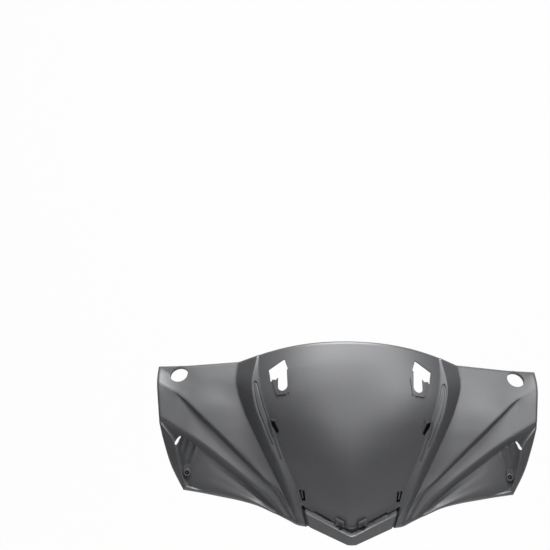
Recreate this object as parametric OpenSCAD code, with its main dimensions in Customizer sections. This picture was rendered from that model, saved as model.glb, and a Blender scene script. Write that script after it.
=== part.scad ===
// Front cover for the handlebar of a small scooter. One injection moulded piece.
//
// Frame, in millimetres: +Z up, the front faces -Y, +X to the right of someone looking at the front.
// The origin is the middle of the box round the part. The part is mirror symmetric about X = 0.
//
// The outer skin is described by feature lines. Each line is a list of points [x, h, d]:
// x is the distance from the middle plane, h the height and d the distance behind the nose tip.
// All lines start low beside the nose and end on the upper or outer edge, like the ribs of a fan.
// Heights in the lists are measured from a level six millimetres below the middle of the box.

/* [Wall] */
// Thickness of the moulded wall, measured square to the skin
wall = 2.5; // [1.8:0.1:3.5]
// Depth of the return along the free edges, from front to back
rim_depth = 7; // [3:0.5:12]
// Steps between two given points of a feature line
line_steps = 3; // [1:1:4]

/* [Overall placement] */
// Height of the middle of the box above the level the lists are measured from
mid_height = 6; // [0:0.1:12]
// Distance of the middle of the box behind the nose tip
mid_depth = 64; // [50:0.1:80]

/* [Mirror holes] */
// Radius of the hole for a mirror stem
mirror_hole_r = 10.5; // [6:0.5:14]
// Distance of the mirror hole from the middle plane
mirror_x = 196; // [180:1:205]
// Height of the mirror hole in the measure of the lists
mirror_h = 79.5; // [70:0.5:86]
// Distance of the mirror hole behind the nose tip
mirror_d = 106; // [90:0.5:110]
// Rise of the hole axis above straight forward, in degrees
mirror_lean = 34; // [0:1:80]
// Turn of the hole axis outward, in degrees
mirror_out = 14; // [0:0.5:40]
// Outer radius of the collar behind a mirror hole
collar_r = 13; // [12:0.5:16]
// How far the collar reaches behind the outer face of the skin
collar_depth = 4; // [3:0.5:14]

/* [Lamp pockets] */
// Radius of the screw hole in a pocket boss
screw_hole_r = 2.2; // [1.5:0.1:4]
// Outer radius of a pocket boss
boss_r = 4; // [3.6:0.1:8]
// Distance of a boss from the middle plane
boss_x = 181.5; // [170:0.5:190]
// Height of a boss in the measure of the lists
boss_h = -32.5; // [-45:0.5:-20]
// Distance of the front face of a boss behind the nose tip
boss_front_d = 68; // [60:0.5:76]
// Length of a boss from front to back
boss_length = 22; // [12:0.5:30]
// How far the pocket floor bulges forward in its middle
floor_bulge = 3; // [0:0.5:14]
// How far the foot of the shield sinks into the ledge of the nose
ledge_sink = 1.8; // [1:0.1:2.4]

/* [Windows and slots] */
// Width of the round end of a keyhole slot
keyhole_width = 10.5; // [8:0.5:14]
// Distance of the round end of a keyhole slot from the middle plane
keyhole_x = 75.6; // [70:0.1:80]
// Height of the centre of the round end in the measure of the lists
keyhole_h = 64; // [58:0.5:70]
// How far the small ribs round the slots stand above the skin
rib_height = 2; // [1:0.1:4]

/* [Ridge groove] */
// Depth of the hairpin groove in the ridge
groove_depth = 1.2; // [0.5:0.1:1.6]

/* [Nose] */
// Clear gap between the side of the nose and the foot of the ridge
nose_gap = 1.2; // [0.5:0.1:3]

/* [Hidden] */
eps = 0.01;
reach = 60;

// Middle of the shield, from the ledge up to the top edge
shield_middle = [[0,-92,13], [0,-72,9], [0,-46,8], [0,-20,9], [0,6,13],
    [0,32,20], [0,60,31], [0,88,45], [0,117.5,62]];
// Edge between the shield and the ridge
ridge_inner = [[53,-65,24], [59,-46,27], [67.5,-27,30], [76,-8,33], [83.5,12,37],
    [91,32,42], [98,54,51], [102.5,78,65], [103.5,101.5,80]];
// Outer edge of the ridge top
ridge_outer = [[50.5,-79,23.5], [62,-59,26], [71,-38,28.5], [80,-18,31.5], [89.5,1,35.5],
    [98.5,21,40.5], [107,43,49.5], [111,70,63], [105,101.2,79]];
// Rounded shoulder just outside the ridge top
ridge_shoulder = [[47,-88.3,25], [63.5,-59.5,27.6], [72.5,-38.7,30.2], [81.5,-18.7,33.4], [91,0.3,37.6],
    [100,20.3,42.8], [108.5,42.5,52], [112.5,70,65.5], [107,100.6,80.7]];
// Foot of the steep band beside the ridge, where the wing begins
wing_inner = [[55.5,-87.4,29.5], [68.5,-62,38.5], [79.5,-40.5,45], [90.5,-19,51], [101,1.5,57.5],
    [110.5,21,64], [120.5,43,73], [128.5,70,86], [126.5,94.5,100]];
// Soft lines across the upper wing panel
wing_soft_a = [[57,-87,30], [72,-58.5,39.5], [88,-36.5,46], [104,-16,52.5], [119,4,59],
    [134,24,66], [150,46,76.5], [170,70,94], [190,89.5,110]];
wing_soft_b = [[58.5,-86.5,30.5], [75.5,-55,40], [93,-34.5,46.5], [111,-15,53], [128,4,59.5],
    [145,23,66.5], [163,43,77], [185,65,95], [221,89,119]];
// Upper and lower line of the first crease
crease_one_top = [[60,-85.9,31], [79.5,-51,41], [98,-33.5,47], [116.3,-15.7,53.5], [135,2.5,59.5],
    [153.5,19.5,66], [172.5,36.5,75.5], [193,54,89.5], [221.5,72,101.5]];
crease_one_foot = [[61.5,-85.2,31.8], [81.2,-53.2,44], [99.4,-35.3,52], [118.3,-18.2,60], [137.7,-0.2,67],
    [156.2,17,73], [174.4,34.8,81], [193.8,53.2,91], [221.5,70.5,101]];
// Upper and lower line of the second crease, the lip over the lamp pocket
crease_two_top = [[66.5,-82.5,33], [87.9,-58.8,43], [106,-44,49.5], [124,-29.5,55.5], [142.5,-15.5,60.5],
    [160,-3,65], [177,8,70], [193,17,76], [216.5,31,84.5]];
crease_two_foot = [[79,-76.5,36], [91,-65,48.5], [108,-51,57], [126,-37,63.5], [144.5,-23.5,69],
    [163,-9.5,73.5], [180,2,77.5], [194,11,80.5], [216,28,84]];
// Foot and top of the wall between the pocket floor and the outer strip
pocket_foot = [[81,-75.8,36.8], [101,-66.2,46], [122,-60.8,53.5], [143,-56.6,59], [161.5,-52.3,63.5],
    [180,-47.5,69], [188.5,-24,77], [196,3,81], [216,26.5,83.9]];
pocket_rim = [[82,-75.4,37], [101.5,-66.6,46.2], [122.5,-61.3,53.8], [143.5,-57,59.3], [163.5,-53,63.3],
    [182.5,-48,66.5], [190.5,-25,68.5], [197.5,1.5,74], [215.8,25,83.6]];
// Lower edge and outer edge of the cover
outer_edge = [[83,-75.1,37.5], [102,-67.4,46.6], [123,-62.2,54.2], [144,-58.5,59.6], [165,-54.9,63.6],
    [185.2,-52,67], [200,-26,76], [210,2,81], [215.5,22,83]];

// The fan, from the middle outward: [line, steps to the next line]
fan = [[shield_middle,6],[ridge_inner,1],[ridge_outer,1],[ridge_shoulder,2],[wing_inner,3],[wing_soft_a,1],
    [wing_soft_b,1],[crease_one_top,1],[crease_one_foot,2],[crease_two_top,1],[crease_two_foot,4],[pocket_foot,1],
    [pocket_rim,1],[outer_edge,0]];
last_row = len(shield_middle) - 1;
// Roundness of the shield across, row by row: 1 is a keel, higher is flatter in the middle
shield_round = [1, 1.3, 1.55, 1.8, 2.05, 2.3, 2.5, 2.6, 2.5];
// Arch of the same rows seen from the front: 1 is a straight V, higher is a round arch
shield_arch = [1, 1.15, 1.3, 1.45, 1.6, 1.75, 1.9, 2.05, 2.2];

// Smooth curve through the points of a line, at v rows from its start
function knot(p, i) = i < 0 ? 2*p[0] - p[1] : i > last_row ? 2*p[last_row] - p[last_row-1] : p[i];
// Lines that turn sharply at the lower outer corner of the cover
function corner(p) = p == outer_edge || p == pocket_rim || p == pocket_foot;
function slope(p, i) = i == 5 && corner(p) ? [0, 0, 0] : (knot(p, i+1) - knot(p, i-1)) / 2;
function along(p, v) = let (i = min(floor(v), last_row-1), t = v - i, b = p[i], c = p[i+1])
    b * (1 - 3*t*t + 2*t*t*t) + slope(p, i) * (t - 2*t*t + t*t*t) + c * (3*t*t - 2*t*t*t) + slope(p, i+1) * (t*t*t - t*t);
function part_way(list, i, v) = list[i] + (list[i+1] - list[i])*(v - i);
// Point between line k of the fan and the next one, u from 0 to 1
function between(k, v, u) = let (a = along(fan[k][0], v), b = along(fan[k+1][0], v), i = min(floor(v), last_row-1),
    w = k == 0 ? pow(u, part_way(shield_round, i, v)) : u, g = k == 0 ? pow(u, part_way(shield_arch, i, v)) : u,
    sink = k == 0 && v < 0.3 ? (1 - v/0.3) * (ledge_sink + 2*u*u) * (1 - pow(u, 12)) : 0,
    lift = k == 10 ? floor_bulge * 4*u*(1-u) * sin(180*min(v,7)/7) : 0)
    [a[0] + (b[0]-a[0])*u, a[1] + (b[1]-a[1])*g - sink, a[2] + (b[2]-a[2])*w - lift];

// Rows of the net, with one more just inside the upper edge
rows = concat([for (i = [0 : last_row*line_steps - 1]) i/line_steps], [last_row - 0.1, last_row]);
half = concat([for (k = [0 : len(fan)-2]) for (s = [0 : fan[k][1]-1]) [k, s/fan[k][1]]], [[len(fan)-2, 1]]);
n_half = len(half);
n_rows = len(rows);
n_cols = 2*n_half - 1;
function net(c, r) = let (j = abs(c - (n_half-1)), q = between(half[j][0], rows[r], half[j][1]))
    [(c < n_half-1 ? -1 : 1) * q[0], q[2], q[1]];

front = [for (c = [0 : n_cols-1]) [for (r = [0 : n_rows-1]) net(c, r)]];
function lim(x, lo, hi) = max(lo, min(hi, x));
function tilt(c, r) = let (a = front[min(c+1,n_cols-1)][r] - front[max(c-1,0)][r],
    b = front[c][min(r+1,n_rows-1)] - front[c][max(r-1,0)], m = cross(a, b)) norm(m)/max(abs(m[1]), eps);
function edge(c, r) = c == 0 || c == n_cols-1 || r == 0 || r == n_rows-1;
function back_off(c, r) = edge(c, r) ? max(rim_depth, wall*lim(tilt(c, r), 1, 2.2)) : wall*lim(tilt(c, r), 1, 2.2);
skin_points = concat([for (c = [0 : n_cols-1]) for (r = [0 : n_rows-1]) front[c][r]],
    [for (c = [0 : n_cols-1]) for (r = [0 : n_rows-1]) front[c][r] + [0, back_off(c, r), 0]]);
function id(c, r, layer) = layer*n_cols*n_rows + c*n_rows + r;
// Each four-sided cell of the net is split along its shorter diagonal
function cell(c, r, y) = norm(front[c][r] - front[c+1][r+1]) < norm(front[c+1][r] - front[c][r+1])
    ? [[id(c,r,y), id(c,r+1,y), id(c+1,r+1,y)], [id(c,r,y), id(c+1,r+1,y), id(c+1,r,y)]]
    : [[id(c,r,y), id(c,r+1,y), id(c+1,r,y)], [id(c+1,r,y), id(c,r+1,y), id(c+1,r+1,y)]];
skin_faces = concat(
    [for (c = [0 : n_cols-2]) for (r = [0 : n_rows-2]) for (f = cell(c, r, 0)) f],
    [for (c = [0 : n_cols-2]) for (r = [0 : n_rows-2]) for (f = cell(c, r, 1)) [f[2], f[1], f[0]]],
    [for (c = [0 : n_cols-2]) for (f = [[id(c,0,0), id(c+1,0,0), id(c+1,0,1)], [id(c,0,0), id(c+1,0,1), id(c,0,1)],
        [id(c+1,n_rows-1,0), id(c,n_rows-1,0), id(c,n_rows-1,1)],
        [id(c+1,n_rows-1,0), id(c,n_rows-1,1), id(c+1,n_rows-1,1)]]) f],
    [for (r = [0 : n_rows-2]) for (f = [[id(0,r+1,0), id(0,r,0), id(0,r,1)], [id(0,r+1,0), id(0,r,1), id(0,r+1,1)],
        [id(n_cols-1,r,0), id(n_cols-1,r+1,0), id(n_cols-1,r+1,1)],
        [id(n_cols-1,r,0), id(n_cols-1,r+1,1), id(n_cols-1,r,1)]]) f]);

// Moulded skin with its front face, its back face and its edge returns
module skin() {
    polyhedron(points = skin_points, faces = skin_faces, convexity = 12);
}

// Closed strip that follows the skin between two fan positions [u at the start, u at the end]
module strip(k, v0, v1, ua, ub, before, behind, steps = 8) {
    vs = [for (i = [0 : steps]) v0 + (v1-v0)*i/steps];
    function at(i, g) = let (q = between(k, vs[i], g[0] + (g[1]-g[0])*i/steps)) [q[0], q[2], q[1]];
    pts = [for (i = [0 : steps]) for (w = [[ua,-before],[ub,-before],[ub,behind],[ua,behind]]) at(i, w[0]) + [0,w[1],0]];
    polyhedron(points = pts, faces = concat([[3,2,1,0], [for (w = [0:3]) 4*steps + w]],
        [for (i = [0 : steps-1]) for (w = [0:3]) let (x = (w+1)%4) for (f = [[4*i+w, 4*i+x, 4*i+4+x],
            [4*i+w, 4*i+4+x, 4*i+4+w]]) f]), convexity = 4);
}

// Both sides of something drawn on the right
module both() {
    children();
    mirror([1, 0, 0]) children();
}

// Flat outline in x and h, carried straight back from depth d0 to depth d1
module through(outline, d0, d1) {
    translate([0, d1, 0]) rotate([90, 0, 0]) linear_extrude(height = d1 - d0) polygon(outline);
}

// Place and direction of a mirror stem: the children's +Z points out of the cover
module at_mirror() {
    translate([mirror_x, mirror_d, mirror_h]) rotate([0, 0, mirror_out]) rotate([90 - mirror_lean, 0, 0]) children();
}
// Oblique hole for a mirror stem, and the collar that stiffens the wall behind it
module mirror_hole() {
    at_mirror() cylinder(h = 60, r = mirror_hole_r, center = true, $fn = 96);
}
module mirror_collar() {
    at_mirror() translate([0, 0, -collar_depth]) cylinder(h = collar_depth - 1, r = collar_r, $fn = 96);
}

// Keyhole slot: a wide quadrangle above and a narrow slot with a round end below
module keyhole() {
    w = keyhole_width/2;
    through([[keyhole_x - w, keyhole_h], [keyhole_x - w, 81], [keyhole_x - w - 0.7, 84], [73.5, 95.5], [93, 86.5],
        [90.5, 72.5], [keyhole_x + w, 73.5], [keyhole_x + w, keyhole_h]], 20, 100);
    translate([keyhole_x, 100, keyhole_h]) rotate([90, 0, 0]) cylinder(h = 80, r = w, $fn = 48);
}

// Blind windows for the clips of the trim panel that sits on the shield, each with a small box behind it
clip_mid = [[82, 27], [88, 27], [84, 12], [80.5, 12]];
clip_low = [[50.5, -48.5], [56.5, -48.5], [53.2, -60], [49.3, -60]];
module clip_boxes() {
    through([[80, 29], [90.5, 29], [86, 10], [78.5, 10]], 36.5, 53);
    through([[48.5, -46.5], [59, -46.5], [55, -62], [47.3, -62]], 26, 42);
}
module clip_cuts() {
    through(clip_mid, 15, 51);
    through(clip_low, 5, 40);
}

// Slots just above the ledge of the nose
module ledge_slots() {
    through([[21, -82.5], [39, -73.2], [39, -69.8], [21, -79.2]], 2, 27);
}

// Crescent notch in the middle above the ledge
module crescent() {
    through(concat([for (a = [200 : 20 : 340]) [7*cos(a), -81.5 + 7*sin(a)]],
        [for (a = [325 : -25 : 215]) [6.4*cos(a)*1.05, -79.5 + 6.4*sin(a)]]), 0, 30);
}

// See-through gap in the upper outer corner of a pocket
module pocket_gap() {
    through([[190.8, 7.9], [192.6, 7.1], [195, 4.3], [196.6, 1.6], [196.8, -1], [195.4, -2.2], [193.6, 0.3],
        [191.8, 4.4], [190.2, 6.9]], 50, 120);
}

// Screw boss in a lamp pocket, before its hole
module boss() {
    translate([boss_x, boss_front_d + boss_length, boss_h]) rotate([90, 0, 0])
        cylinder(h = boss_length, r = boss_r, $fn = 48);
    through([[boss_x - 3.8, boss_h], [boss_x + 3.8, boss_h], [boss_x + 3.8, boss_h + 7.5], [boss_x + 2.2, boss_h + 10.2],
        [boss_x - 2.2, boss_h + 10.2], [boss_x - 3.8, boss_h + 7.5]], boss_front_d + 1, boss_front_d + boss_length - 2);
}
module boss_hole() {
    translate([boss_x, boss_front_d + boss_length + 10, boss_h]) rotate([90, 0, 0])
        cylinder(h = boss_length + 20, r = screw_hole_r, $fn = 32);
}

// Small raised ribs beside a keyhole slot and a middle clip window, lying on the shield
module ribs() {
    strip(0, 6.02, 6.72, [0.70, 0.66], [0.716, 0.676], rib_height, 1.5);
    strip(0, 5.97, 6.05, [0.70, 0.70], [0.865, 0.865], rib_height, 1.5);
    strip(0, 6.02, 6.66, [0.85, 0.85], [0.866, 0.866], rib_height, 1.5);
    strip(0, 4.08, 4.86, [0.915, 0.875], [0.935, 0.895], rib_height, 1.5);
    strip(0, 4.84, 4.92, [0.88, 0.88], [0.985, 0.985], rib_height, 1.5);
}

// Staple that holds the lower edge of the trim panel
module staple() {
    difference() {
        through([[9.4, -87], [9.4, -76], [16.4, -76], [16.4, -87]], 8, 17);
        through([[11.2, -89], [11.2, -78.5], [14.6, -78.5], [14.6, -89]], 5, 11.8);
    }
}

// Pointed nose in front of the ledge, as a bent plate from the shield round to the tip
nose_middle = [[0, -89.4, 23], [0, -94.6, 3.5], [0, -96, 2], [0, -105.6, 4]];
nose_knee = [[4.5, -87.2, 23.5], [4.5, -92.6, 4.2], [4.5, -94, 2.7], [4.5, -105.4, 4.6]];
nose_flank = [[50.5 - nose_gap, -64.4, 36], [50.5 - nose_gap, -70.6, 19], [50 - nose_gap, -72, 17.5],
    [45.5 - nose_gap, -88.3, 20]];
// Floor of the narrow groove beside the nose, and the tie that joins it to the foot of the ridge
nose_groove = [[50.2, -64.2, 37], [50.2, -70.6, 27], [49.8, -72, 27], [45.2, -87.6, 27.5]];
nose_tie = [[54, -63.5, 37.5], [53.5, -70, 28.5], [53, -71.5, 28.5], [49, -86.6, 29]];
module nose() {
    right = [nose_knee, nose_flank, nose_groove, nose_tie];
    lines = [for (s = [-1, 1]) for (l = s < 0 ? [for (i = [3:-1:0]) right[i]] : concat([nose_middle], right))
        [for (q = l) [s*q[0], q[2], q[1]]]];
    n = len(lines);
    m = len(nose_middle);
    off = [6, 6.5, 5, 6];
    pts = concat([for (c = [0:n-1]) for (r = [0:m-1]) lines[c][r]],
        [for (c = [0:n-1]) for (r = [0:m-1]) lines[c][r] + [0, off[r], r == m-1 ? 0.8 : -1]]);
    function at(c, r, layer) = layer*n*m + c*m + r;
    polyhedron(points = pts, faces = concat(
        [for (c = [0:n-2]) for (r = [0:m-2]) for (f = [[at(c,r,0), at(c+1,r+1,0), at(c,r+1,0)],
            [at(c,r,0), at(c+1,r,0), at(c+1,r+1,0)]]) f],
        [for (c = [0:n-2]) for (r = [0:m-2]) for (f = [[at(c,r,1), at(c,r+1,1), at(c+1,r+1,1)],
            [at(c,r,1), at(c+1,r+1,1), at(c+1,r,1)]]) f],
        [for (c = [0:n-2]) for (f = [[at(c,0,0), at(c+1,0,1), at(c+1,0,0)], [at(c,0,0), at(c,0,1), at(c+1,0,1)],
            [at(c+1,m-1,0), at(c,m-1,1), at(c,m-1,0)], [at(c+1,m-1,0), at(c+1,m-1,1), at(c,m-1,1)]]) f],
        [for (r = [0:m-2]) for (f = [[at(0,r+1,0), at(0,r,1), at(0,r,0)], [at(0,r+1,0), at(0,r+1,1), at(0,r,1)],
            [at(n-1,r,0), at(n-1,r+1,1), at(n-1,r+1,0)], [at(n-1,r,0), at(n-1,r,1), at(n-1,r+1,1)]]) f]),
        convexity = 6);
}

// The whole cover in its own frame
module handlebar_cover() {
    color([0.38, 0.39, 0.41]) translate([0, -mid_depth, -mid_height]) difference() {
        union() {
            difference() {
                skin();
                both() keyhole();
                both() ledge_slots();
                both() pocket_gap();
                both() strip(1, 2.9, 6.6, [0.43, 0.25], [0.52, 0.35], 3, groove_depth);
                both() strip(1, 3.8, 6.6, [0.72, 0.71], [0.80, 0.81], 3, groove_depth);
                both() strip(1, 6.55, 6.72, [0.25, 0.25], [0.81, 0.81], 3, groove_depth, 2);
                crescent();
            }
            both() boss();
            both() mirror_collar();
            both() clip_boxes();
            both() ribs();
            both() staple();
            through([[-9, -91], [9, -91], [9, -79], [-9, -79]], 17.5, 21);
            nose();
        }
        both() clip_cuts();
        both() boss_hole();
        both() mirror_hole();
    }
}

handlebar_cover();
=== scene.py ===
# %% [markdown]
# # Front cover for the handlebar of a small scooter
#
# The real object is one piece of injection moulded plastic with a wall of two and a half
# millimetres. Its outer face is a set of long panels that fan out from the nose, with crisp
# creases between them, so this script builds that face from its crease lines and then gives
# it a back, rolled edges, holes and small details, as the mould does.

# %% Load the CAD parts
import math
import bpy
import numpy as np
from mathutils import Matrix


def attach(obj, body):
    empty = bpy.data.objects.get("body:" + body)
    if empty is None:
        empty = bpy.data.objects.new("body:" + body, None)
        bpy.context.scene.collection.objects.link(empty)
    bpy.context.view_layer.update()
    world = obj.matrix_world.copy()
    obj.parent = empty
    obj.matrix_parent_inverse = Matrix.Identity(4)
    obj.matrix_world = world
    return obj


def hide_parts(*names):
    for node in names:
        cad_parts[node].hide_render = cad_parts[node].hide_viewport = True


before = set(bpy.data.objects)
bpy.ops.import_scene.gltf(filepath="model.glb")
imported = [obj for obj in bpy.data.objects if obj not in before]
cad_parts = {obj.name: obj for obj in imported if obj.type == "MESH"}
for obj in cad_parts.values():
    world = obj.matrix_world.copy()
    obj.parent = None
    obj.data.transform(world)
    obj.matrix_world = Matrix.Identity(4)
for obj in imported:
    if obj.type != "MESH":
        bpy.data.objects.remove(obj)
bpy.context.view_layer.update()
NODE = "handlebar_cover"
MM = 0.001

# %% [markdown]
# ## The crease lines
#
# Each line is a short list of points [x, height, depth] in millimetres: x from the middle
# plane, height from a level a little below the middle of the box, depth behind the nose tip.
# All lines start low beside the nose and end on the upper or outer edge. They are the same
# round numbers as in the CAD part, so both skins lie on each other.

# %% Crease lines of the right half
crease_lines = {
    "shield_middle": [[0, -92, 13], [0, -72, 9], [0, -46, 8], [0, -20, 9], [0, 6, 13], [0, 32, 20],
                      [0, 60, 31], [0, 88, 45], [0, 117.5, 62]],
    "ridge_inner": [[53, -65, 24], [59, -46, 27], [67.5, -27, 30], [76, -8, 33], [83.5, 12, 37], [91, 32, 42],
                    [98, 54, 51], [102.5, 78, 65], [103.5, 101.5, 80]],
    "ridge_outer": [[50.5, -79, 23.5], [62, -59, 26], [71, -38, 28.5], [80, -18, 31.5], [89.5, 1, 35.5],
                    [98.5, 21, 40.5], [107, 43, 49.5], [111, 70, 63], [105, 101.2, 79]],
    "ridge_shoulder": [[47, -88.3, 25], [63.5, -59.5, 27.6], [72.5, -38.7, 30.2], [81.5, -18.7, 33.4],
                       [91, 0.3, 37.6], [100, 20.3, 42.8], [108.5, 42.5, 52], [112.5, 70, 65.5],
                       [107, 100.6, 80.7]],
    "wing_inner": [[55.5, -87.4, 29.5], [68.5, -62, 38.5], [79.5, -40.5, 45], [90.5, -19, 51],
                   [101, 1.5, 57.5], [110.5, 21, 64], [120.5, 43, 73], [128.5, 70, 86],
                   [126.5, 94.5, 100]],
    "wing_soft_a": [[57, -87, 30], [72, -58.5, 39.5], [88, -36.5, 46], [104, -16, 52.5], [119, 4, 59],
                    [134, 24, 66], [150, 46, 76.5], [170, 70, 94], [190, 89.5, 110]],
    "wing_soft_b": [[58.5, -86.5, 30.5], [75.5, -55, 40], [93, -34.5, 46.5], [111, -15, 53], [128, 4, 59.5],
                    [145, 23, 66.5], [163, 43, 77], [185, 65, 95], [221, 89, 119]],
    "crease_one_top": [[60, -85.9, 31], [79.5, -51, 41], [98, -33.5, 47], [116.3, -15.7, 53.5],
                       [135, 2.5, 59.5], [153.5, 19.5, 66], [172.5, 36.5, 75.5], [193, 54, 89.5],
                       [221.5, 72, 101.5]],
    "crease_one_foot": [[61.5, -85.2, 31.8], [81.2, -53.2, 44], [99.4, -35.3, 52], [118.3, -18.2, 60],
                        [137.7, -0.2, 67], [156.2, 17, 73], [174.4, 34.8, 81], [193.8, 53.2, 91],
                        [221.5, 70.5, 101]],
    "crease_two_top": [[66.5, -82.5, 33], [87.9, -58.8, 43], [106, -44, 49.5], [124, -29.5, 55.5],
                       [142.5, -15.5, 60.5], [160, -3, 65], [177, 8, 70], [193, 17, 76], [216.5, 31, 84.5]],
    "crease_two_foot": [[79, -76.5, 36], [91, -65, 48.5], [108, -51, 57], [126, -37, 63.5],
                        [144.5, -23.5, 69], [163, -9.5, 73.5], [180, 2, 77.5], [194, 11, 80.5],
                        [216, 28, 84]],
    "pocket_foot": [[81, -75.8, 36.8], [101, -66.2, 46], [122, -60.8, 53.5], [143, -56.6, 59],
                    [161.5, -52.3, 63.5], [180, -47.5, 69], [188.5, -24, 77], [196, 3, 81],
                    [216, 26.5, 83.9]],
    "pocket_rim": [[82, -75.4, 37], [101.5, -66.6, 46.2], [122.5, -61.3, 53.8], [143.5, -57, 59.3],
                   [163.5, -53, 63.3], [182.5, -48, 66.5], [190.5, -25, 68.5], [197.5, 1.5, 74],
                   [215.8, 25, 83.6]],
    "outer_edge": [[83, -75.1, 37.5], [102, -67.4, 46.6], [123, -62.2, 54.2], [144, -58.5, 59.6],
                   [165, -54.9, 63.6], [185.2, -52, 67], [200, -26, 76], [210, 2, 81], [215.5, 22, 83]],
}
fan = [np.array(points, float) for points in crease_lines.values()]
line_names = list(crease_lines)
LAST_ROW = 8
# Roundness of the shield across, row by row, in depth and in its arch seen from the front
SHIELD_ROUND = [1, 1.3, 1.55, 1.8, 2.05, 2.3, 2.5, 2.6, 2.5]
SHIELD_ARCH = [1, 1.15, 1.3, 1.45, 1.6, 1.75, 1.9, 2.05, 2.2]
# Swelling of a pocket's floor, and the row where it ends
FLOOR_BULGE, BULGE_END = 3.0, 7
# Flutes that run down the outer end of a pocket to its boss: height, rows, pitch and run-out in rows
FLUTE, FLUTE_FROM, FLUTE_TO, FLUTE_PITCH, FLUTE_FADE = 0.8, 5.35, 6.95, 0.5, 0.25
# Lines that turn sharply at the lower outer corner, and the row of that corner
CORNER_LINES, CORNER_ROW = ("pocket_foot", "pocket_rim", "outer_edge"), 5
# How far the foot of the shield sinks into the ledge of the nose, from the middle outwards,
# and the part of the first row over which it does so
SINK_AT = [0, 0.12, 0.25, 0.4, 0.6, 0.75, 0.87, 1]
LEDGE_SINK = [2.0, 3.2, 3.8, 2.6, 1.4, 0.7, 0.2, 0]
SINK_ROWS = 0.3
FLOOR = line_names.index("crease_two_foot")
RIDGE = line_names.index("ridge_inner")
MID_DEPTH, MID_HEIGHT = 64.0, 6.0
print(len(fan), "crease lines of", LAST_ROW + 1, "points")


# %% [markdown]
# A smooth curve through such points is a cubic spline that passes through every point, with
# slopes taken from the neighbours. A slope of nothing leaves a corner, as at the lower outer
# corner. `between` gives the point of the skin between one line and the next.

# %% Curves through the crease lines
def along(line, v):
    """Point on the smooth curve through a line's points, v rows from its start."""
    v = np.asarray(v, float)
    points = fan[line]
    start = np.clip(np.floor(v).astype(int), 0, LAST_ROW - 1)
    t = (v - start)[..., None]
    padded = np.vstack([2 * points[0] - points[1], points, 2 * points[-1] - points[-2]])
    slope = (padded[2:] - padded[:-2]) / 2
    if line_names[line] in CORNER_LINES:
        slope[CORNER_ROW] = 0
    return (points[start] * (1 - 3 * t ** 2 + 2 * t ** 3) + slope[start] * (t - 2 * t ** 2 + t ** 3)
            + points[start + 1] * (3 * t ** 2 - 2 * t ** 3) + slope[start + 1] * (t ** 3 - t ** 2))


def between(panel, v, u):
    """Point of the skin between line `panel` and the next, u from 0 to 1."""
    v, u = np.broadcast_arrays(np.asarray(v, float), np.asarray(u, float))
    a, b = along(panel, v), along(panel + 1, v)
    share_depth = share_height = u
    lift = sink = 0.0
    if panel == 0:
        sink = np.clip(1 - v / SINK_ROWS, 0, 1) * np.interp(u, SINK_AT, LEDGE_SINK)
        rows = np.arange(LAST_ROW + 1)
        share_depth = u ** np.interp(v, rows, SHIELD_ROUND)
        share_height = u ** np.interp(v, rows, SHIELD_ARCH)
    if panel == FLOOR:
        lift = FLOOR_BULGE * 4 * u * (1 - u) * np.sin(np.pi * np.minimum(v, BULGE_END) / BULGE_END)
        fluted = (np.clip((v - FLUTE_FROM) / FLUTE_FADE, 0, 1)
                  * np.clip((FLUTE_TO - v) / FLUTE_FADE, 0, 1))
        wave = np.sin(2 * np.pi * (v - FLUTE_FROM) / FLUTE_PITCH)
        lift = lift + FLUTE * fluted * (1 - u) ** 0.5 * wave
    return np.stack([a[..., 0] + (b - a)[..., 0] * u, a[..., 1] + (b - a)[..., 1] * share_height - sink,
                     a[..., 2] + (b - a)[..., 2] * share_depth - lift], axis=-1)


print("top of the shield:", between(0, 8, 0), "foot of the ridge:", between(1, 0, 0))

# %% [markdown]
# ## The outer face
#
# A net is laid over the whole width: rows go from side to side, columns follow the lines.
# Both stand closer where a crease or an edge needs it. A mould has no knife edges, so every
# row is averaged over a short stretch of its own length, about a millimetre at a crease and
# much more in the middle of a panel. That rounds the creases and leaves the panels alone.

# %% Rows and columns of the net
near_end = np.array([0.015, 0.04, 0.075, 0.12, 0.18, 0.26])
groove_tip_rows = np.arange(6.35, 6.75, 0.03)
flute_rows = np.arange(5.3, 7.0, 0.045)
EVEN_ROWS, CLOSEST_ROWS = 105, 0.012
rows_v = np.unique(np.round(np.concatenate([
    np.linspace(0, LAST_ROW, EVEN_ROWS), near_end, LAST_ROW - near_end, groove_tip_rows, flute_rows]), 4))
rows_v = rows_v[np.concatenate([[True], np.diff(rows_v) > CLOSEST_ROWS])]
rows_v[-1] = LAST_ROW
# Columns in each panel, from the middle of the shield to the outer edge
panel_steps = [26, 20, 3, 8, 12, 6, 6, 6, 9, 6, 16, 4, 9]


def spread(steps):
    """Shares from 0 to 1 that crowd at both ends."""
    return 0.5 - 0.5 * np.cos(np.pi * np.arange(steps) / steps)


def dense_row(v, fine=40):
    """One row of the right half, finely sampled, and where its lines lie along it."""
    points, marks = [], [0]
    for panel in range(len(fan) - 1):
        piece = between(panel, v, np.linspace(0, 1, fine * 2 if panel == 0 else fine, endpoint=False))
        points.append(piece)
        marks.append(marks[-1] + len(piece))
    points.append(along(len(fan) - 1, v)[None])
    return np.concatenate(points), marks


# Half lengths over which a row is averaged: at a crease, in mid panel, at the keel and least there
CREASE_ROUND, PANEL_ROUND, KEEL_ROUND, KEEL_LEAST = 0.9, 14.0, 7.0, 3.0
# Below this half length the sampled row itself is used
SHORTEST = 0.2
# Share of the way to the next crease that the averaging may use
REACH_SHARE = 0.9
# The soft lines of the wing are no creases, and the first crease fades out near its upper end
NO_CREASE, SOFT_B_SLOPE = 99.0, 40.0
FADE_ROW, FADE_SLOPE, FADE_MOST = 6.9, 14, 20


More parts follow.
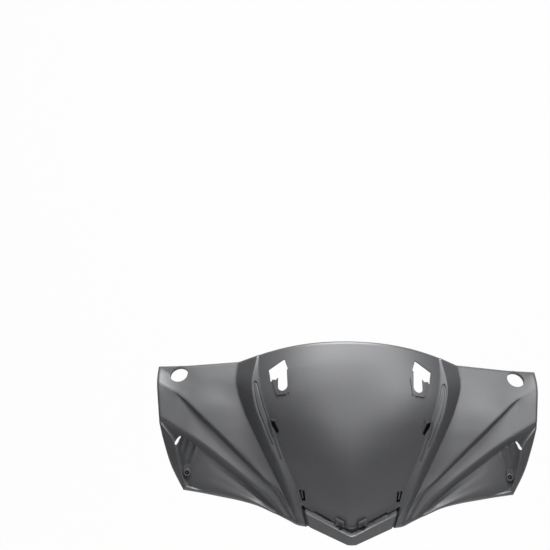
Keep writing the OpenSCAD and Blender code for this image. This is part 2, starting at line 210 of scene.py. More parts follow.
def softness(name, v):
    """Millimetres by which a line is blunter than a crease, in row v."""
    if name == "wing_soft_a":
        return NO_CREASE
    if name == "wing_soft_b":
        return (LAST_ROW - v) * SOFT_B_SLOPE
    if name.startswith("crease_one"):
        return float(np.clip((v - FADE_ROW) * FADE_SLOPE, 0, FADE_MOST))
    return 0.0


def smooth_row(v):
    """One full row from the left edge to the right edge, with rounded creases."""
    half, marks = dense_row(v)
    mirrored = half[::-1][:-1] * [-1, 1, 1]
    full = np.concatenate([mirrored, half])
    step = np.linalg.norm(np.diff(full, axis=0), axis=1)
    run = np.concatenate([[0], np.cumsum(step)])
    middle = len(mirrored)
    centre = run[middle]
    total = np.concatenate([[np.zeros(3)], np.cumsum((full[1:] + full[:-1]) / 2 * step[:, None], axis=0)])
    line_run = run[middle + np.array(marks)] - centre
    # Columns keep their share of the way from line to line, so they follow the lines from row to row
    places = []
    for panel, steps in enumerate(panel_steps):
        lo, hi = line_run[panel], line_run[panel + 1]
        places.append(lo + (hi - lo) * spread(steps))
    places = np.concatenate(places + [[line_run[-1]]])
    places = np.concatenate([-places[::-1][:-1], places])
    crease_at = np.concatenate([-line_run[1:], line_run[1:]])
    blunt = np.tile([softness(name, v) for name in line_names[1:]], 2)
    reach = (np.abs(places[:, None] - crease_at[None]) + blunt[None]).min(axis=1)
    reach = np.clip(REACH_SHARE * reach, CREASE_ROUND, PANEL_ROUND)
    keel = np.abs(places) < KEEL_ROUND
    reach[keel] = np.minimum(np.maximum(reach[keel], KEEL_LEAST), KEEL_ROUND)
    to_end = line_run[-1] - np.abs(places)
    reach = np.minimum(reach, np.maximum(to_end, 1e-4))

    def at(values, where):
        return np.stack([np.interp(where, run, values[:, axis]) for axis in range(3)], axis=-1)

    left, right = centre + places - reach, centre + places + reach
    averaged = (at(total, right) - at(total, left)) / (right - left)[:, None]
    exact = at(full, centre + places)
    return np.where((reach < SHORTEST)[:, None], exact, averaged)


outer_face = np.stack([smooth_row(v) for v in rows_v], axis=1)
n_cols, n_rows = outer_face.shape[:2]
MIDDLE = n_cols // 2
print("net of", n_cols, "columns and", n_rows, "rows")

# %% [markdown]
# The free edges are rolled back over about three millimetres. The roll depends only on how far
# a point lies from the edge; it is a little smaller along the top than along the sides and the
# foot. The ledge under the shield isn't an edge: the nose grows out of it.

# %% Rolled free edges
EDGE_ROLL, LOWER_ROLL = 2.6, 3.4
WALL = 2.5
# Return along the free edges: how deep and how wide it is
RIM_DEPTH, RIM_WALL = 7.0, 2.4
plan = outer_face[:, :, :2]


def edge_distance(points, edge):
    """Shortest distance in the front view from each point to a polyline."""
    a, b = edge[:-1], edge[1:]
    flat = points.reshape(-1, 2)
    best = np.full(len(flat), 1e9)
    for p, q in zip(a, b):
        d = q - p
        length = float(d @ d)
        if length < 1e-12:
            continue
        t = np.clip((flat - p) @ d / length, 0, 1)
        best = np.minimum(best, np.linalg.norm(flat - p - t[:, None] * d, axis=1))
    return best.reshape(points.shape[:-1])


right_half = plan[MIDDLE:]
top_edge = right_half[:, -1]
side_edge = right_half[-1, :]
foot_edge = right_half[panel_steps[0]:, 0]
upper_side = side_edge[::-1][:len(side_edge) // 3]
to_upper = edge_distance(right_half, np.concatenate([top_edge, upper_side]))
to_lower = edge_distance(right_half, np.concatenate([foot_edge, side_edge]))


def roll(distance, radius):
    """How far a rounded edge falls back, by the distance from the edge."""
    inside = np.clip(1 - distance / radius, 0, 1)
    return radius * (1 - np.sqrt(1 - inside ** 2))


fall = np.maximum(roll(to_upper, EDGE_ROLL), roll(to_lower, LOWER_ROLL))
to_edge = np.minimum(to_upper, to_lower)
fall = np.concatenate([fall[::-1][:-1], fall])
to_edge = np.concatenate([to_edge[::-1][:-1], to_edge])
print("largest fall of the edge: %.1f mm" % fall.max())

# %% [markdown]
# ## Back face and mesh
#
# The mould opens straight forward, so the back is the front moved straight back. To keep the
# wall equally thick where the skin leans, the shift grows with the lean. Along the free edges
# the wall turns back further, as a stiffening return.

# %% Skin with front, back and returns
MOST_LEAN, LEAN_SMOOTHINGS, LEDGE_ROWS = 2.2, 3, 8


def to_frame(points):
    """Lists' measure [x, height, depth] in millimetres to the row frame in metres."""
    points = np.asarray(points, float)
    return np.stack([points[..., 0], points[..., 2] - MID_DEPTH, points[..., 1] - MID_HEIGHT], axis=-1) * MM


def skin_mesh():
    """Points and faces of the closed skin."""
    front = outer_face.copy()
    across = np.gradient(front, axis=0)
    upward = np.gradient(front, axis=1)
    normal = np.cross(across, upward)
    lean = np.linalg.norm(normal, axis=-1) / np.maximum(np.abs(normal[..., 2]), 1e-6)
    lean = np.clip(lean, 1, MOST_LEAN)
    for _ in range(LEAN_SMOOTHINGS):
        lean[1:-1, 1:-1] = (lean[1:-1, 1:-1] * 2 + lean[:-2, 1:-1] + lean[2:, 1:-1] + lean[1:-1, :-2]
                            + lean[1:-1, 2:]) / 6
    thick = WALL * lean
    ledge = np.zeros((n_cols, n_rows), bool)
    ledge[MIDDLE - panel_steps[0] + 1:MIDDLE + panel_steps[0], :LEDGE_ROWS] = True
    rim = (to_edge < RIM_WALL) & ~ledge
    back = front.copy()
    back[..., 2] += np.where(rim, np.maximum(RIM_DEPTH, thick), thick)
    front[..., 2] += fall
    verts = np.concatenate([to_frame(front).reshape(-1, 3), to_frame(back).reshape(-1, 3)])
    index = np.arange(n_cols * n_rows).reshape(n_cols, n_rows)
    a, b, c, d = index[:-1, :-1], index[1:, :-1], index[1:, 1:], index[:-1, 1:]
    offset = n_cols * n_rows
    faces = [np.stack([a, b, c, d], -1).reshape(-1, 4),
             np.stack([a, d, c, b], -1).reshape(-1, 4) + offset]
    loop = np.concatenate([index[:, 0], index[-1, 1:], index[::-1, -1][1:], index[0, ::-1][1:-1]])
    after = np.roll(loop, -1)
    faces.append(np.stack([after, loop, loop + offset, after + offset], -1))
    return verts, np.concatenate(faces)


def new_object(name, verts, faces):
    """A mesh object in the scene."""
    mesh = bpy.data.meshes.new(name)
    mesh.from_pydata([tuple(v) for v in verts], [], [tuple(int(i) for i in f) for f in faces])
    mesh.validate()
    mesh.update()
    piece = bpy.data.objects.new(name, mesh)
    bpy.context.scene.collection.objects.link(piece)
    return piece


cover = new_object("cover_moulding", *skin_mesh())
print("skin:", len(cover.data.vertices), "points,", len(cover.data.polygons), "faces")


# %% [markdown]
# ## Holes and windows
#
# A hole is cut with a solid of its own outline. Outlines are drawn in the front view, and
# `prism` carries them straight back, which is the way the mould's slides go.

# %% Prisms for cutting and adding
def prism(outline, depth_0, depth_1, mirrored=False):
    """Closed solid from an outline of (x, height), from depth_0 back to depth_1."""
    pts = np.array(outline, float)
    if mirrored:
        pts = pts * [-1, 1]
    area = 0.5 * np.sum(pts[:, 0] * np.roll(pts[:, 1], -1) - np.roll(pts[:, 0], -1) * pts[:, 1])
    if area < 0:
        pts = pts[::-1]
    n = len(pts)
    front = np.column_stack([pts, np.full(n, depth_0)])
    back = np.column_stack([pts, np.full(n, depth_1)])
    verts = to_frame(np.concatenate([front, back]))
    faces = [list(range(n)), list(range(2 * n - 1, n - 1, -1))]
    faces += [[(i + 1) % n, i, i + n, (i + 1) % n + n] for i in range(n)]
    return verts, faces


def arc(cx, cy, radius, start, end, steps=16):
    """Points on an arc, angles in degrees."""
    return [(cx + radius * math.cos(math.radians(a)), cy + radius * math.sin(math.radians(a)))
            for a in np.linspace(start, end, steps)]


def joined(name, solids):
    """One object from several closed solids."""
    verts, faces, base = [], [], 0
    for v, f in solids:
        verts.append(np.asarray(v))
        faces += [[i + base for i in face] for face in f]
        base += len(v)
    return new_object(name, np.concatenate(verts), faces)


def tube(centre, axis, radius, start, end, steps=64, lip=0.0):
    """Closed cylinder, from start to end in millimetres along its axis, with a rounded lip if asked."""
    axis = np.array(axis, float) / np.linalg.norm(axis)
    side = np.cross(axis, [0, 0, 1.0])
    side /= np.linalg.norm(side)
    up = np.cross(axis, side)
    rings = [(start, radius)]
    if lip > 0:
        rings += [(end - lip * (1 - math.sin(a)), radius - lip * (1 - math.cos(a)))
                  for a in np.linspace(0, math.pi / 2, 5)]
    else:
        rings.append((end, radius))
    verts = []
    for height, r in rings:
        for k in range(steps):
            a = 2 * math.pi * k / steps
            outward = side * math.cos(a) + up * math.sin(a)
            verts.append(np.array(centre) + (axis * height + outward * r) * MM)
    n = steps
    faces = [list(range(n - 1, -1, -1)), list(range((len(rings) - 1) * n, len(rings) * n))]
    for ring in range(len(rings) - 1):
        faces += [[ring * n + k, ring * n + (k + 1) % n, (ring + 1) * n + (k + 1) % n, (ring + 1) * n + k]
                  for k in range(n)]
    return np.array(verts), faces


def cut_or_add(target, tool, operation):
    """Cuts the tool out of the target or adds it, and then removes the tool."""
    modifier = target.modifiers.new(operation.lower(), "BOOLEAN")
    modifier.operation = operation
    modifier.solver = "MANIFOLD"
    modifier.object = tool
    depsgraph = bpy.context.evaluated_depsgraph_get()
    result = bpy.data.meshes.new_from_object(target.evaluated_get(depsgraph))
    target.modifiers.clear()
    old = target.data
    target.data = result
    bpy.data.meshes.remove(old)
    bpy.data.objects.remove(tool)
    print(operation.lower(), "->", len(result.vertices), "points")


# %% Outlines of the holes
KEY_X, KEY_H, KEY_HALF = 75.6, 64.0, 5.25
keyhole = arc(KEY_X, KEY_H, KEY_HALF, 180, 360, 20) + [
    (KEY_X + KEY_HALF, 74), (83.6, 71.6), (86, 72.6), (89.2, 70.6), (90.2, 78), (91.6, 85.3), (73.9, 94.6),
    (72.4, 90), (69.9, 82.6), (71.2, 80.8)]
ledge_slot = [(18, -84), (39.6, -74.6), (39.6, -70.2), (21.2, -80), (18, -80.8)]
pocket_gap = [(190.8, 7.9), (192.6, 7.1), (195, 4.3), (196.6, 1.6), (196.8, -1), (195.4, -2.2),
              (193.6, 0.3), (191.8, 4.4), (190.2, 6.9)]
# The keyhole slots are cut square to the leaning skin: how much it leans back for each
# millimetre of height, and the depth of its back face at the round end of a slot
SKIN_LEAN, SKIN_BACK = 0.6, 48


def square_cut(outline, depth_0, depth_1, mirrored):
    """Cutter that leans with the skin, for an outline measured on the back face."""
    verts, faces = prism(outline, depth_0, depth_1, mirrored)
    height = verts[:, 2] / MM + MID_HEIGHT
    back_face = SKIN_BACK + (height - KEY_H) * SKIN_LEAN
    verts[:, 2] += SKIN_LEAN * (back_face - (verts[:, 1] / MM + MID_DEPTH)) * MM
    return verts, faces


skin_cuts = []
for mirrored in (False, True):
    skin_cuts += [square_cut(keyhole, 20, 90, mirrored), prism(ledge_slot, 2, 27, mirrored),
                  prism(pocket_gap, 50, 120, mirrored)]
print(len(skin_cuts), "cutters for the skin")

# %% [markdown]
# ## The hairpin groove in each ridge
#
# A narrow groove runs up the inner side of the ridge, round a tip and down the outer side, and
# leaves a tongue between. It follows a path on the skin, so Geometry Nodes sweep a round
# profile along that path, and the swept rod is then cut out of the ridge.

# %% Groove paths on the skin
# Radius of the rod that cuts the groove, and how far its middle lies behind the skin
GROOVE_R, GROOVE_SINK = 1.25, 0.15
# The path as (row, share of the ridge's width), up the inner side and down the outer side
hairpin = np.array([(2.85, 0.48), (3.7, 0.37), (4.6, 0.29), (5.5, 0.25), (6.2, 0.27), (6.65, 0.35),
                    (6.84, 0.48), (6.84, 0.62), (6.65, 0.72), (6.2, 0.76), (5.4, 0.77), (4.6, 0.75),
                    (3.8, 0.76)])
PATH_POINTS = 220


def through_points(points, samples):
    """Evenly numbered samples of a smooth curve through any number of points."""
    padded = np.vstack([2 * points[0] - points[1], points, 2 * points[-1] - points[-2]])
    where = np.linspace(0, len(points) - 1, samples)
    start = np.minimum(where.astype(int), len(points) - 2)
    t = (where - start)[:, None]
    a, b, c, d = (padded[start + step] for step in range(4))
    return 0.5 * (2 * b + (c - a) * t + (2 * a - 5 * b + 4 * c - d) * t ** 2
                  + (3 * b - a - 3 * c + d) * t ** 3)


def path_object(name, point_lists):
    """Edges only, one open chain for each list of points."""
    verts, edges = [], []
    for points in point_lists:
        base = len(verts)
        verts += [tuple(p) for p in points]
        edges += [(base + i, base + i + 1) for i in range(len(points) - 1)]
    mesh = bpy.data.meshes.new(name)
    mesh.from_pydata(verts, edges, [])
    path = bpy.data.objects.new(name, mesh)
    bpy.context.scene.collection.objects.link(path)
    return path


groove_lines = []
for sign in (1, -1):
    spots = through_points(hairpin, PATH_POINTS)
    on_skin = between(RIDGE, spots[:, 0], spots[:, 1]) + [0, 0, GROOVE_SINK]
    groove_lines.append(to_frame(on_skin * [sign, 1, 1]))
groove_path = path_object("groove_path", groove_lines)
print("groove path:", len(groove_path.data.vertices), "points")


# %% Geometry Nodes sweep
def sweep_tree(material):
    """Node tree that sweeps a round profile along the edges of a mesh."""
    tree = bpy.data.node_groups.new("sweep_along_path", "GeometryNodeTree")
    tree.interface.new_socket("Path", in_out="INPUT", socket_type="NodeSocketGeometry")
    radius = tree.interface.new_socket("Profile radius", in_out="INPUT", socket_type="NodeSocketFloat")
    radius.default_value = 0.001
    tree.interface.new_socket("Rod", in_out="OUTPUT", socket_type="NodeSocketGeometry")
    enter = tree.nodes.new("NodeGroupInput")
    leave = tree.nodes.new("NodeGroupOutput")
    to_curve = tree.nodes.new("GeometryNodeMeshToCurve")
    profile = tree.nodes.new("GeometryNodeCurvePrimitiveCircle")
    profile.inputs["Resolution"].default_value = 12
    sweep = tree.nodes.new("GeometryNodeCurveToMesh")
    sweep.inputs["Fill Caps"].default_value = True
    real = tree.nodes.new("GeometryNodeRealizeInstances")
    paint = tree.nodes.new("GeometryNodeSetMaterial")
    paint.inputs["Material"].default_value = material
    link = tree.links.new
    link(enter.outputs["Path"], to_curve.inputs["Mesh"])
    link(enter.outputs["Profile radius"], profile.inputs["Radius"])
    link(to_curve.outputs["Curve"], sweep.inputs["Curve"])
    link(profile.outputs["Curve"], sweep.inputs["Profile Curve"])
    link(sweep.outputs["Mesh"], real.inputs["Geometry"])
    link(real.outputs["Geometry"], paint.inputs["Geometry"])
    link(paint.outputs["Geometry"], leave.inputs["Rod"])
    return tree, radius.identifier


def swept(path, radius, material):
    """The path object becomes a plain mesh rod of the given radius in metres."""
    tree, radius_socket = sweep_tree(material)
    modifier = path.modifiers.new("sweep", "NODES")
    modifier.node_group = tree
    modifier[radius_socket] = radius
    depsgraph = bpy.context.evaluated_depsgraph_get()
    mesh = bpy.data.meshes.new_from_object(path.evaluated_get(depsgraph))
    path.modifiers.clear()
    path.data = mesh
    return path


groove_rod = swept(groove_path, GROOVE_R * MM, bpy.data.materials.new("groove_cutter"))
rod = groove_rod.data
skin_cuts.append((np.array([v.co for v in rod.vertices]), [list(f.vertices) for f in rod.polygons]))
print("groove rod:", len(rod.polygons), "faces")
bpy.data.objects.remove(groove_rod)
cut_or_add(cover, joined("skin_cutters", skin_cuts), "DIFFERENCE")

# %% [markdown]
# ## Bosses, clip boxes, collars, ribs and staples
#
# These are the small features that moulders add behind and on the skin: a screw boss in each
# lamp pocket, little closed boxes behind the clip windows, a collar behind each mirror hole.
# Thin ribs frame the keyholes and the clip windows. Solids that touch each other are added in
# separate steps, because the solver wants each tool to be clean by itself.

# %% Sizes of the added features
SCREW_X, SCREW_H, SCREW_R = 181.5, -32.5, 2.2
BOSS_R, BOSS_FRONT, BOSS_LENGTH, BOSS_LIP = 4.2, 68.0, 22.0, 0.8
# Web that carries a boss: half its width, and the middle of its round top above the screw
ARM_HALF, ARM_RISE = 3.6, 6.4
# The bore narrows near the back, where the screw cuts its thread
BORE_FOOT, THREAD_R = 4.0, 0.9
MIRROR_AT = to_frame([196, 79.5, 106])
rise, turn = math.radians(34), math.radians(14)
MIRROR_R, COLLAR_R, COLLAR_DEPTH = 10.5, 13.0, 4.0
# How far a cutter runs past the solid that it cuts, and the sides of a large round hole
PAST, ROUND_SIDES = 30, 96
clip_mid = [(88.9, 27.2), (83.9, 25.2), (79.9, 16.2), (79.4, 13.4), (81.6, 12.6), (87, 20.5)]
clip_low = [(50.5, -48.5), (56.5, -48.5), (53.2, -60), (49.3, -60)]
clip_tab = [(50, -48), (53.6, -48), (54.3, -50.4), (52.7, -57.6), (51.4, -57.6), (52.6, -50)]
box_mid = [(80, 29), (90.5, 29), (86, 10), (78.5, 10)]
box_low = [(48.5, -46.5), (59, -46.5), (55, -62), (47.3, -62)]
catch_plate = [(-9, -91), (9, -91), (9, -79), (-9, -79)]
staple_block = [(8, -87), (8, -82), (16.2, -78), (16.4, -85)]
staple_opening = [(10.2, -90), (10.2, -84.2), (14, -82.4), (14, -90)]
# Ribs on the shield: first and last row, then shares of its width at both ends of each side
RIB, RIB_ROOT = 1.2, 1.5
keyhole_side_ribs = [(6.02, 6.72, (0.70, 0.66), (0.716, 0.676)), (6.02, 6.66, (0.828, 0.85), (0.846, 0.868))]
keyhole_foot_rib = (5.97, 6.05, (0.735, 0.735), (0.84, 0.84))
clip_side_rib = (4.25, 4.7, (0.925, 0.93), (0.945, 0.95))
clip_top_ribs = [(4.68, 4.94, (0.928, 0.898), (0.948, 0.918)), (4.78, 4.86, (0.945, 0.945), (0.985, 0.985))]
print("collar radius", COLLAR_R, "boss radius", BOSS_R)


# %% Features that are added
def mirror_axis(sign):
    """Direction in which a mirror stem leaves its hole."""
    return np.array([sign * math.cos(rise) * math.sin(turn), -math.cos(rise) * math.cos(turn),
                     math.sin(rise)])


def strip(panel, v0, v1, start, end, before, behind, mirrored, steps=16):
    """Closed strip on the skin from row v0 to row v1, between two shares of the panel's width."""
    rings = []
    for i in range(steps + 1):
        t = i / steps
        v = v0 + (v1 - v0) * t
        ua, ub = start[0] + (start[1] - start[0]) * t, end[0] + (end[1] - end[0]) * t
        a, b = between(panel, v, ua), between(panel, v, ub)
        for p, shift in ((a, -before), (b, -before), (b, behind), (a, behind)):
            rings.append(p + [0, 0, shift])
    pts = np.array(rings)
    if mirrored:
        pts = pts * [-1, 1, 1]
    faces = [[3, 2, 1, 0], [4 * steps + k for k in range(4)]]
    for i in range(steps):
        for k in range(4):
            n = (k + 1) % 4
            faces.append([4 * i + k, 4 * i + n, 4 * i + 4 + n, 4 * i + 4 + k])
    if mirrored:
        faces = [f[::-1] for f in faces]
    return to_frame(pts), faces


def rib(place, mirrored, steps=16):
    """Thin rib on the shield."""
    first, last, start, end = place
    return strip(0, first, last, start, end, RIB, RIB_ROOT, mirrored, steps)


def boss_arm(mirrored):
    """Round-topped web that carries a boss."""
    outline = arc(SCREW_X, SCREW_H + ARM_RISE, ARM_HALF, 0, 180, 12)
    outline += [(SCREW_X - ARM_HALF, SCREW_H), (SCREW_X + ARM_HALF, SCREW_H)]
    return prism(outline, BOSS_FRONT + 1, BOSS_FRONT + BOSS_LENGTH - 2, mirrored)


FORWARD = (0, -1, 0)
added, arms, corners, late_cuts = [], [], [], []
for mirrored in (False, True):
    sign = -1 if mirrored else 1
    boss_at = to_frame([sign * SCREW_X, SCREW_H, BOSS_FRONT])
    mirror_at = MIRROR_AT * [sign, 1, 1]
    added += [tube(boss_at, FORWARD, BOSS_R, -BOSS_LENGTH, 0, lip=BOSS_LIP),
              tube(mirror_at, mirror_axis(sign), COLLAR_R, -COLLAR_DEPTH, -1, steps=ROUND_SIDES),
              prism(box_mid, 36.5, 53, mirrored),
              prism(box_low, 26, 42, mirrored)]
    arms.append(boss_arm(mirrored))
    late_cuts += [tube(boss_at, FORWARD, SCREW_R, BORE_FOOT - BOSS_LENGTH, 10, steps=40),
                  tube(boss_at, FORWARD, THREAD_R, -BOSS_LENGTH - 10, 5, steps=24),
                  tube(mirror_at, mirror_axis(sign), MIRROR_R, -PAST, PAST, steps=ROUND_SIDES),
                  prism(clip_mid, 15, 51, mirrored),
                  prism(clip_low, 5, 40, mirrored)]
added.append(prism(catch_plate, 17.5, 21))
for mirrored in (False, True):
    arms += [rib(keyhole_side_ribs[0], mirrored), rib(keyhole_side_ribs[1], mirrored),
             rib(clip_side_rib, mirrored), rib(clip_top_ribs[1], mirrored, 2)]
    corners += [rib(keyhole_foot_rib, mirrored, 2), rib(clip_top_ribs[0], mirrored, 4)]
print(len(added), "added features,", len(late_cuts), "cuts through them")

# %% [markdown]
# ## The nose
#
# In front of the ledge the moulding ends in a bent plate with a blunt point. It is lofted
# from a few stations, each a short profile from the shelf over the ledge down to the tip.

# %% Nose plate
# Narrow gap between the face of the nose and the ridge beside it
GAP = 1.2
# Each station runs from the shelf down to the tip, and the stations go from the middle outwards
stations = [
    [[0, -89.4, 23], [0, -95.2, 3.5], [0, -96.6, 2], [0, -105.6, 4]],
    [[4.5, -87.2, 23.5], [4.5, -93.8, 4.2], [4.5, -95.2, 2.7], [4.5, -105.4, 4.6]],
    [[50.5 - GAP, -63.5, 31], [50.5 - GAP, -71.9, 19], [50 - GAP, -73.3, 17.5], [45.5 - GAP, -88.3, 20]],
    [[50.2, -63.9, 35], [50.2, -71.4, 27], [49.8, -72.8, 27], [45.2, -87.6, 27.5]],
    [[54, -63.5, 37.5], [53.5, -70, 28.5], [53, -71.5, 28.5], [49, -86.6, 29]],
]
# Back face of the plate at each point of a station: how far behind the front, and how much higher
NOSE_BACK, NOSE_SHIFT = [6, 6.5, 5, 6], [-1, -1, -1, 0.8]


def nose_plate():
    """Bent plate between the station profiles and their copies further back."""
    right = np.array(stations, float)
    lines = np.concatenate([right[::-1][:-1] * [-1, 1, 1], right])
    n, m = lines.shape[:2]
    back = lines.copy()
    back[..., 2] += NOSE_BACK
    back[..., 1] += NOSE_SHIFT
    verts = to_frame(np.concatenate([lines.reshape(-1, 3), back.reshape(-1, 3)]))
    front = np.arange(n * m).reshape(n, m)
    rear = front + n * m
    faces = []
    for c in range(n - 1):
        for r in range(m - 1):
            faces.append([front[c, r], front[c, r + 1], front[c + 1, r + 1], front[c + 1, r]])
            faces.append([rear[c, r], rear[c + 1, r], rear[c + 1, r + 1], rear[c, r + 1]])
        faces.append([front[c, 0], front[c + 1, 0], rear[c + 1, 0], rear[c, 0]])
        faces.append([front[c + 1, -1], front[c, -1], rear[c, -1], rear[c + 1, -1]])
    for r in range(m - 1):
        faces.append([front[0, r + 1], front[0, r], rear[0, r], rear[0, r + 1]])
        faces.append([front[-1, r], front[-1, r + 1], rear[-1, r + 1], rear[-1, r]])
    return verts, faces


# %% Details of the ledge
def ramp(low, high, foot, mirrored=False):
    """Wedge along a line: its face rises back from the low line of points to the high line."""
    pts = []
    for a, b in zip(low, high):
        pts += [a, b, (b[0], b[1], foot), (a[0], a[1], foot)]
    pts = np.array(pts, float) * ([-1, 1, 1] if mirrored else [1, 1, 1])
    n = len(low)
    faces = [[0, 1, 2, 3], [4 * (n - 1) + k for k in (3, 2, 1, 0)]]
    faces += [[4 * i + (k + 1) % 4, 4 * i + k, 4 * i + 4 + k, 4 * i + 4 + (k + 1) % 4]
              for i in range(n - 1) for k in range(4)]
    return to_frame(pts), [f[::-1] for f in faces] if mirrored else faces


def staple_cap(mirrored):
    """Sloping top of a staple."""
    return ramp([(8, -83, 8.6), (16.3, -79.1, 8.6)], [(8, -81, 11.2), (16.2, -77, 11.2)], 17, mirrored)


def slot_floor(mirrored):
    """Sloping floor of a slot on the ledge, which leaves its inner end open."""
    low = [(21.6, -83.6, 16.8), (38.9, -74.9, 20.6)]
    high = [(21.4, -80, 20.4), (38.9, -70.6, 24.4)]
    return ramp(low, high, 27, mirrored)


def curved_lip(steps=12):
    """Curved lip in the middle above the ledge."""
    low = [(x, h, 9.6) for x, h in arc(0, -80.7, 7.9, 218, 322, steps)]
    high = [(x, h, 12.4) for x, h in arc(0, -78, 9.0, 233, 307, steps)]
    return ramp(low, high, 17)


arms.append(curved_lip())
caps = []
for mirrored in (False, True):
    corners += [prism(staple_block, 9.5, 17, mirrored), slot_floor(mirrored)]
    caps.append(staple_cap(mirrored))
    late_cuts.append(prism(staple_opening, 5, 12.6, mirrored))
for name, solids in (("added_features", added), ("arms_and_ribs", arms), ("rib_corners", corners),
                     ("staple_caps", caps), ("nose", [nose_plate()])):
    cut_or_add(cover, joined(name, solids), "UNION")
cut_or_add(cover, joined("late_cutters", late_cuts), "DIFFERENCE")
cut_or_add(cover, joined("clip_tabs", [prism(clip_tab, 26, 38, m) for m in (False, True)]), "UNION")

# %% [markdown]
# ## Shading
#
# Faces shade smoothly into each other, except where they meet at more than this angle.

# %% Smooth shading with sharp edges
SHARP_DEGREES = 32
mesh = cover.data
mesh.shade_smooth()
mesh.set_sharp_from_angle(angle=math.radians(SHARP_DEGREES))
print("finished moulding:", len(mesh.polygons), "faces")


# %% [markdown]
# ## Satin grey finish
#
# The plastic is a dark grey with a satin surface: a fine grain of under a millimetre breaks
# up the highlight, and the grey varies a little from place to place.

# %% A small class for shader maths
class Sock:
    """Wraps a shader socket so that Python operators add Math nodes."""

    def __init__(self, tree, socket):
        self.tree, self.socket = tree, socket

    def _math(self, operation, *values):
        node = self.tree.nodes.new("ShaderNodeMath")
        node.operation = operation
        for slot, value in zip(node.inputs, values):
            if isinstance(value, Sock):
                self.tree.links.new(value.socket, slot)
            else:
                slot.default_value = value
        return Sock(self.tree, node.outputs[0])

    def __add__(self, other):
        return self._math("ADD", self, other)

    def __radd__(self, other):
        return self._math("ADD", other, self)

    def __sub__(self, other):
        return self._math("SUBTRACT", self, other)

    def __rsub__(self, other):
        return self._math("SUBTRACT", other, self)

    def __mul__(self, other):
        return self._math("MULTIPLY", self, other)

    def __rmul__(self, other):
        return self._math("MULTIPLY", other, self)


def add_node(tree, kind, settings=None, inputs=None):
    """Adds a node: its settings first, then the values or links of its sockets."""
    node = tree.nodes.new(kind)
    for key, value in (settings or {}).items():
        setattr(node, key, value)
    for key, value in (inputs or {}).items():
        if isinstance(value, Sock):
            tree.links.new(value.socket, node.inputs[key])
        else:
            node.inputs[key].default_value = value
    return node


def out(tree, node, name=0):
    """One output of a node, ready for maths."""
    return Sock(tree, node.outputs[name])


# %% Satin grey plastic
DARK_GREY, LIGHT_GREY = (0.085, 0.086, 0.090, 1), (0.175, 0.177, 0.183, 1)


def noise(tree, place, scale, detail):
    """Noise between 0 and 1 with the given cells per metre."""
    node = add_node(tree, "ShaderNodeTexNoise", {}, {"Vector": place, "Scale": scale, "Detail": detail})
    return out(tree, node, "Fac")


def satin_grey():
    """Grey plastic with a fine grain."""
    material = bpy.data.materials.new("satin_grey_plastic")
    material.use_nodes = True
    tree = material.node_tree
    tree.nodes.clear()
    place = out(tree, add_node(tree, "ShaderNodeTexCoord"), "Object")
    cloud = noise(tree, place, 14.0, 3.0)
    speck = noise(tree, place, 1500.0, 2.0)
    grain = noise(tree, place, 700.0, 3.0)
    shade = cloud * 0.10 + speck * 0.55
    mix = add_node(tree, "ShaderNodeMix", {"data_type": "RGBA"})
    tree.links.new((shade + 0.14).socket, mix.inputs["Factor"])
    mix.inputs["A"].default_value = DARK_GREY
    mix.inputs["B"].default_value = LIGHT_GREY
    bump = add_node(tree, "ShaderNodeBump", {}, {"Strength": 0.12, "Distance": 0.0002, "Height": grain})
    rough = cloud * 0.06 + speck * 0.06 + 0.36
    surface = add_node(tree, "ShaderNodeBsdfPrincipled", {}, {
        "Base Color": Sock(tree, mix.outputs["Result"]), "Metallic": 0.35, "Roughness": rough,
        "Normal": out(tree, bump)})
    output = add_node(tree, "ShaderNodeOutputMaterial")
    tree.links.new(surface.outputs[0], output.inputs["Surface"])
    return material


finish = satin_grey()
cover.data.materials.clear()
cover.data.materials.append(finish)
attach(cover, "root")
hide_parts(NODE)
print("finish:", finish.name)


# %% [markdown]
# ## Floor, backdrop and light
#
# The photograph has a plain white ground. A white sweep stands behind and below the cover. To
# the camera it glows almost white, and the rest of its look is paper that takes a faint shadow
# and bounces light.

# %% White sweep
GLOW_SHARE = 0.96


def white_ground():
    """White paper that glows for the camera."""
    material = bpy.data.materials.new("white_ground")
    material.use_nodes = True
    tree = material.node_tree
    tree.nodes.clear()
    paper = add_node(tree, "ShaderNodeBsdfDiffuse", {}, {"Color": (0.8, 0.8, 0.8, 1)})
    glow = add_node(tree, "ShaderNodeEmission", {}, {"Color": (1, 1, 1, 1), "Strength": 1.0})
    path = add_node(tree, "ShaderNodeLightPath")
    seen = out(tree, path, "Is Camera Ray") * GLOW_SHARE
    mix = add_node(tree, "ShaderNodeMixShader", {}, {"Fac": seen})
    tree.links.new(paper.outputs[0], mix.inputs[1])
    tree.links.new(glow.outputs[0], mix.inputs[2])
    output = add_node(tree, "ShaderNodeOutputMaterial")
    tree.links.new(mix.outputs[0], output.inputs["Surface"])
    return material


def sweep():
    """Floor that bends up into a wall, in metres."""
    half, front_y, floor_z, back_y, top_z, radius = 3.0, -3.0, -0.42, 1.3, 2.6, 0.5
    bend = [(back_y - radius + radius * math.sin(a), floor_z + radius * (1 - math.cos(a)))
            for a in np.linspace(0, math.pi / 2, 20)]
    profile = [(front_y, floor_z)] + bend + [(back_y, top_z)]
    verts = [(x, y, z) for x in (-half, half) for y, z in profile]
    n = len(profile)
    faces = [(i, n + i, n + i + 1, i + 1) for i in range(n - 1)]
    ground = new_object("white_sweep", verts, faces)
    ground.data.materials.append(white_ground())
    ground.data.shade_smooth()
    return ground


sweep()


# %% Lights
LAMP_SIDE = 0.7


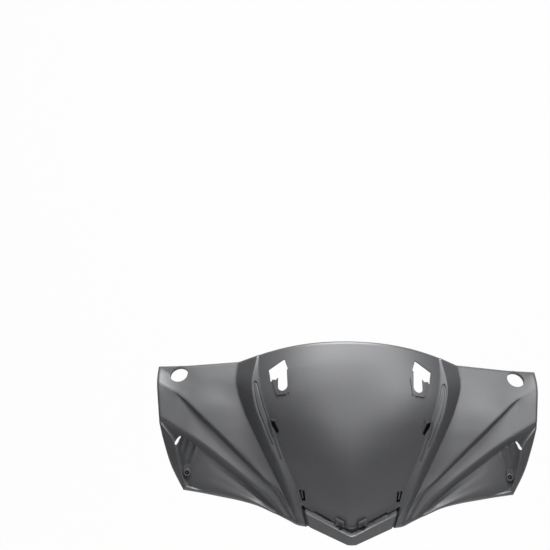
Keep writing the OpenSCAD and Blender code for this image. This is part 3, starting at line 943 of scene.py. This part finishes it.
def area_light(name, place, power, aim=(0, 0, 0)):
    """Square soft light that faces the given point."""
    light = bpy.data.lights.new(name, "AREA")
    light.shape = "SQUARE"
    light.size = LAMP_SIDE
    light.energy = power
    lamp = bpy.data.objects.new(name, light)
    bpy.context.scene.collection.objects.link(lamp)
    back = np.array(place, float) - np.array(aim, float)
    back /= np.linalg.norm(back)
    side = np.cross([0, 0, 1.0], back)
    side /= np.linalg.norm(side)
    up = np.cross(back, side)
    rows = [[side[i], up[i], back[i], place[i]] for i in range(3)] + [[0, 0, 0, 1]]
    lamp.matrix_world = Matrix(rows)
    return lamp


area_light("top_softbox", (0.03, -0.12, 1.7), 31)
area_light("front_softbox", (0, -1.39, 0.98), 4.5)
area_light("right_softbox", (0.77, -0.77, 1.3), 9.5)
area_light("left_softbox", (-0.4, -0.5, 1.58), 5.5)
world = bpy.data.worlds.new("studio")
bpy.context.scene.world = world
world.use_nodes = True
sky = world.node_tree.nodes["Background"]
sky.inputs["Color"].default_value = (1, 1, 1, 1)
sky.inputs["Strength"].default_value = 0.03

# %% [markdown]
# ## Camera
#
# A long lens looks almost straight at the front, a little from the viewer's left. The cover
# lies low in the frame, so the camera is aimed above it and turned slightly about its axis.

# %% Camera
FRAME = 550
LENS, SENSOR = 85.0, 36.0
DISTANCE = 1.47
AZIMUTH = math.radians(-3.5)
ROLL = math.radians(0.88)
# A point near the middle of the shield, and the pixel of the picture on which it lies
AIM_POINT = np.array([0, -4.0, -6.0]) * MM
AIM_PIXEL = (348.6, 446.0)


def turned(first, second, angle):
    """Both directions after a turn of the first towards the second."""
    c, s = math.cos(angle), math.sin(angle)
    return first * c + second * s, second * c - first * s


def place_camera():
    """Camera that shows the aim point on its pixel, by turning and never by shifting the lens."""
    focal = FRAME / SENSOR * LENS
    ahead = np.array([-math.sin(AZIMUTH), math.cos(AZIMUTH), 0])
    right = np.array([math.cos(AZIMUTH), math.sin(AZIMUTH), 0])
    up = np.array([0, 0, 1.0])
    place = AIM_POINT - DISTANCE * ahead
    dx, dy = AIM_PIXEL[0] - FRAME / 2, AIM_PIXEL[1] - FRAME / 2
    x = dx * math.cos(ROLL) + dy * math.sin(ROLL)
    y = -dx * math.sin(ROLL) + dy * math.cos(ROLL)
    yaw = math.atan2(x, focal)
    pitch = math.atan2(y * math.cos(yaw), focal)
    ahead, right = turned(ahead, -right, yaw)
    right = -right
    ahead, up = turned(ahead, up, pitch)
    right, up = turned(right, up, ROLL)
    data = bpy.data.cameras.new("camera")
    data.lens, data.sensor_width = LENS, SENSOR
    camera = bpy.data.objects.new("camera", data)
    bpy.context.scene.collection.objects.link(camera)
    rows = [[right[i], up[i], -ahead[i], place[i]] for i in range(3)] + [[0, 0, 0, 1]]
    camera.matrix_world = Matrix(rows)
    bpy.context.scene.camera = camera
    return camera


camera = place_camera()
bpy.context.scene.view_settings.view_transform = "Standard"
print("camera at", tuple(round(c, 3) for c in camera.matrix_world.translation))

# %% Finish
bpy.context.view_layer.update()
